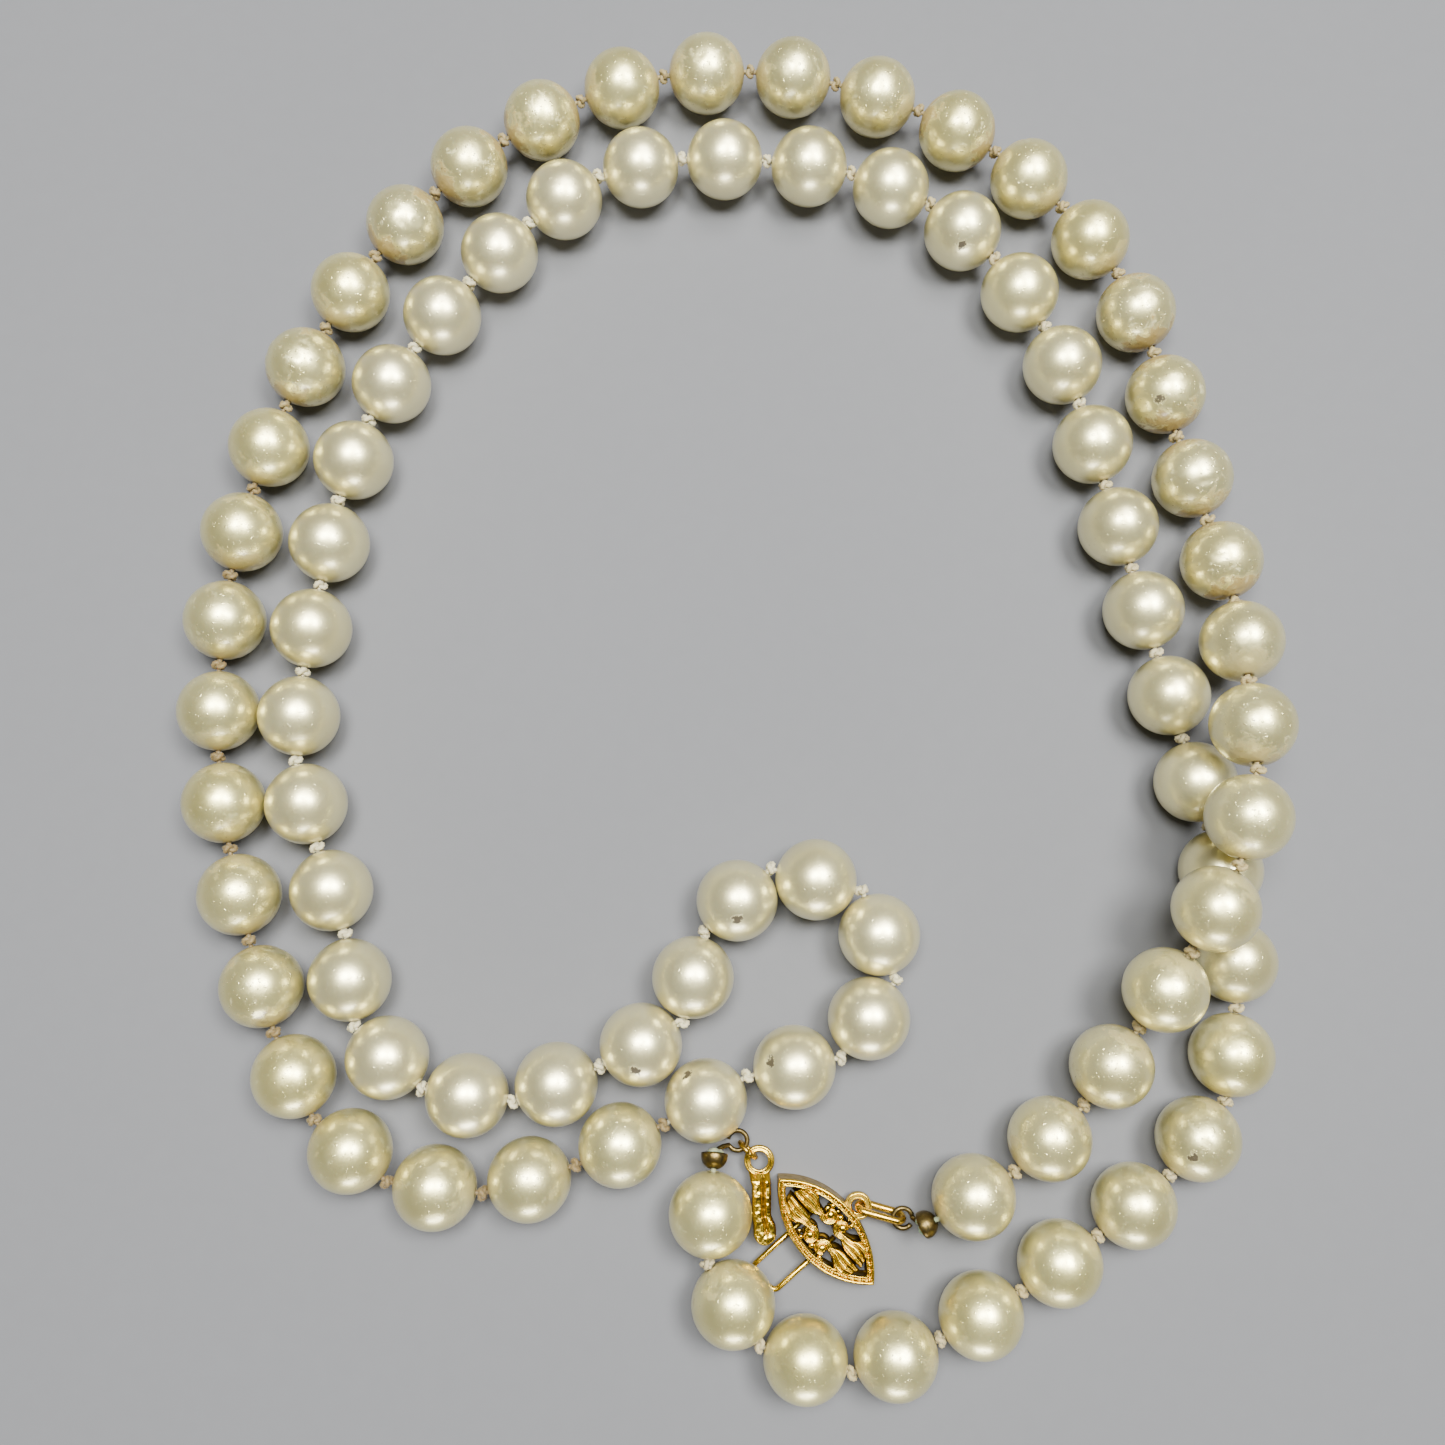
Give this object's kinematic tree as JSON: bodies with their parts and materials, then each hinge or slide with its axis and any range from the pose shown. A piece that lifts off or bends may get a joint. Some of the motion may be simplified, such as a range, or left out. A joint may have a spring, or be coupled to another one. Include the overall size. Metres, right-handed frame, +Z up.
{
  "type": "pearl necklace",
  "caption": "Long knotted single-strand pearl necklace lying in a doubled loop, with an open marquise filigree clasp, bead tips, an oval link and a jump ring.",
  "frame": {"origin": "middle of the laid-out shape, on the surface it rests on", "axes": "+Z up from the surface, +Y along the longer side of the laid loop, away from the clasp"},
  "size_m": [0.1094, 0.1382, 0.0165],
  "materials": {
    "pearl_outer": "lustrous cream pearl, worn at the drill holes",
    "pearl_inner": "lustrous white pearl with a faint pink overtone",
    "silk": "twisted silk thread, knotted",
    "gold": "gold-plated, bright on the edges and dark in the hollows",
    "worn_gold": "gold-plated wire with a coppery wear",
    "aged_brass": "dark patinated brass with a little verdigris"
  },
  "bodies": {
    "laid_loop": {"pearls_25_32": "pearl_outer", "silk_25_32": "silk", "pearls_33_40": "pearl_outer", "silk_33_40": "silk", "pearls_41_48": "pearl_inner", "silk_41_48": "silk", "pearls_49_56": "pearl_inner", "silk_49_56": "silk", "pearls_57_64": "pearl_inner", "silk_57_64": "silk", "pearls_65_72": "pearl_inner", "silk_65_72": "silk"},
    "run_21_24": {"pearls_21_24": "pearl_outer", "silk_21_24": "silk"},
    "run_17_20": {"pearls_17_20": "pearl_outer", "silk_17_20": "silk"},
    "run_13_16": {"pearls_13_16": "pearl_outer", "silk_13_16": "silk"},
    "run_09_12": {"pearls_09_12": "pearl_outer", "silk_09_12": "silk"},
    "run_05_08": {"pearls_05_08": "pearl_outer", "silk_05_08": "silk"},
    "run_03_04": {"pearls_03_04": "pearl_outer", "silk_03_04": "silk"},
    "run_01_02": {"pearls_01_02": "pearl_outer", "silk_01_02": "silk"},
    "tip_a": {"bead_tip_a": "aged_brass", "end_knot_a": "silk"},
    "link": {"oval_link": "worn_gold"},
    "case": {"case_rim": "gold", "filigree_front": "gold", "filigree_back": "gold"},
    "catch": {"catch_wire": "gold"},
    "run_73_74": {"pearls_73_74": "pearl_inner", "silk_73_74": "silk"},
    "run_75_76": {"pearls_75_76": "pearl_inner", "silk_75_76": "silk"},
    "run_77_78": {"pearls_77_78": "pearl_inner", "silk_77_78": "silk"},
    "run_79": {"pearls_79": "pearl_inner", "silk_79": "silk"},
    "run_80": {"pearls_80": "pearl_inner", "silk_80": "silk"},
    "run_81": {"pearls_81": "pearl_inner", "silk_81": "silk"},
    "tip_b": {"bead_tip_b": "aged_brass", "end_knot_b": "silk"},
    "ring": {"jump_ring": "worn_gold"},
    "hook": {"hook": "gold"}
  },
  "joints": [
    {"name": "lift_21_24", "type": "hinge", "parent": "laid_loop", "child": "run_21_24", "pos_m": [-0.04531, 0.02829, 0.004], "axis": [0.4905, -0.8708, -0.0327], "range_deg": [0, 6]},
    {"name": "lift_17_20", "type": "hinge", "parent": "run_21_24", "child": "run_17_20", "pos_m": [-0.02343, 0.0575, 0.004], "axis": [0.2273, -0.9734, -0.0274], "range_deg": [0, 6]},
    {"name": "lift_13_16", "type": "hinge", "parent": "run_17_20", "child": "run_13_16", "pos_m": [0.01184, 0.06389, 0.004], "axis": [-0.0661, -0.9975, -0.0266], "range_deg": [0, 6]},
    {"name": "lift_09_12", "type": "hinge", "parent": "run_13_16", "child": "run_09_12", "pos_m": [0.04106, 0.04269, 0.004], "axis": [-0.3454, -0.938, -0.0302], "range_deg": [0, 6]},
    {"name": "lift_05_08", "type": "hinge", "parent": "run_09_12", "child": "run_05_08", "pos_m": [0.0509, 0.00731, 0.00573], "axis": [-0.5802, -0.8121, -0.0614], "range_deg": [0, 8]},
    {"name": "lift_03_04", "type": "hinge", "parent": "run_05_08", "child": "run_03_04", "pos_m": [0.04363, -0.0268, 0.00988], "axis": [-0.7686, -0.615, -0.1761], "range_deg": [0, 6]},
    {"name": "lift_01_02", "type": "hinge", "parent": "run_03_04", "child": "run_01_02", "pos_m": [0.03461, -0.04172, 0.00418], "axis": [-0.8717, -0.4803, -0.0971], "range_deg": [0, 5]},
    {"name": "tip_a_tilt", "type": "hinge", "parent": "run_01_02", "child": "tip_a", "pos_m": [0.01976, -0.05254, 0.004], "axis": [0.9164, 0.354, 0.1866], "range_deg": [0, 4]},
    {"name": "link_swing", "type": "hinge", "parent": "tip_a", "child": "link", "pos_m": [0.01732, -0.05288, 0.0014], "axis": [0, 0, 1], "range_deg": [0, 4]},
    {"name": "case_swing", "type": "hinge", "parent": "link", "child": "case", "pos_m": [0.01298, -0.05168, 0.0014], "axis": [0, 0, 1], "range_deg": [0, 4]},
    {"name": "catch_slide", "type": "slide", "parent": "case", "child": "catch", "axis": [0.7294, 0.6731, 0.1219], "range_m": [0, 0.0016]},
    {"name": "lift_73_74", "type": "hinge", "parent": "laid_loop", "child": "run_73_74", "pos_m": [0.04982, -0.03256, 0.004], "axis": [0.4541, -0.8909, 0], "range_deg": [-8, 0]},
    {"name": "lift_75_76", "type": "hinge", "parent": "run_73_74", "child": "run_75_76", "pos_m": [0.04267, -0.04834, 0.004], "axis": [0.1426, -0.9898, 0], "range_deg": [-8, 0]},
    {"name": "lift_77_78", "type": "hinge", "parent": "run_75_76", "child": "run_77_78", "pos_m": [0.02816, -0.0589, 0.004], "axis": [-0.219, -0.9757, 0], "range_deg": [-3, 0]},
    {"name": "lift_79", "type": "hinge", "parent": "run_77_78", "child": "run_79", "pos_m": [0.01189, -0.06631, 0.004], "axis": [-0.8221, -0.5693, 0], "range_deg": [-3, 0]},
    {"name": "lift_80", "type": "hinge", "parent": "run_79", "child": "run_80", "pos_m": [0.00327, -0.06383, 0.004], "axis": [-0.9897, -0.1429, 0], "range_deg": [-4, 0]},
    {"name": "lift_81", "type": "hinge", "parent": "run_80", "child": "run_81", "pos_m": [-0.00172, -0.05637, 0.004], "axis": [-0.9277, 0.3733, 0], "range_deg": [-7, 0]},
    {"name": "tip_b_tilt", "type": "hinge", "parent": "run_81", "child": "tip_b", "pos_m": [-0.00108, -0.04743, 0.004], "axis": [0.6544, 0.7562, 0], "range_deg": [-6, 0]},
    {"name": "ring_swing", "type": "hinge", "parent": "tip_b", "child": "ring", "pos_m": [0.00195, -0.04617, 0.0014], "axis": [0.6681, 0.7441, 0], "range_deg": [-3, 0]},
    {"name": "hook_swing", "type": "hinge", "parent": "ring", "child": "hook", "pos_m": [0.00249, -0.04665, 0.0014], "axis": [0.6681, 0.7441, 0], "range_deg": [-4, 0]}
  ]
}
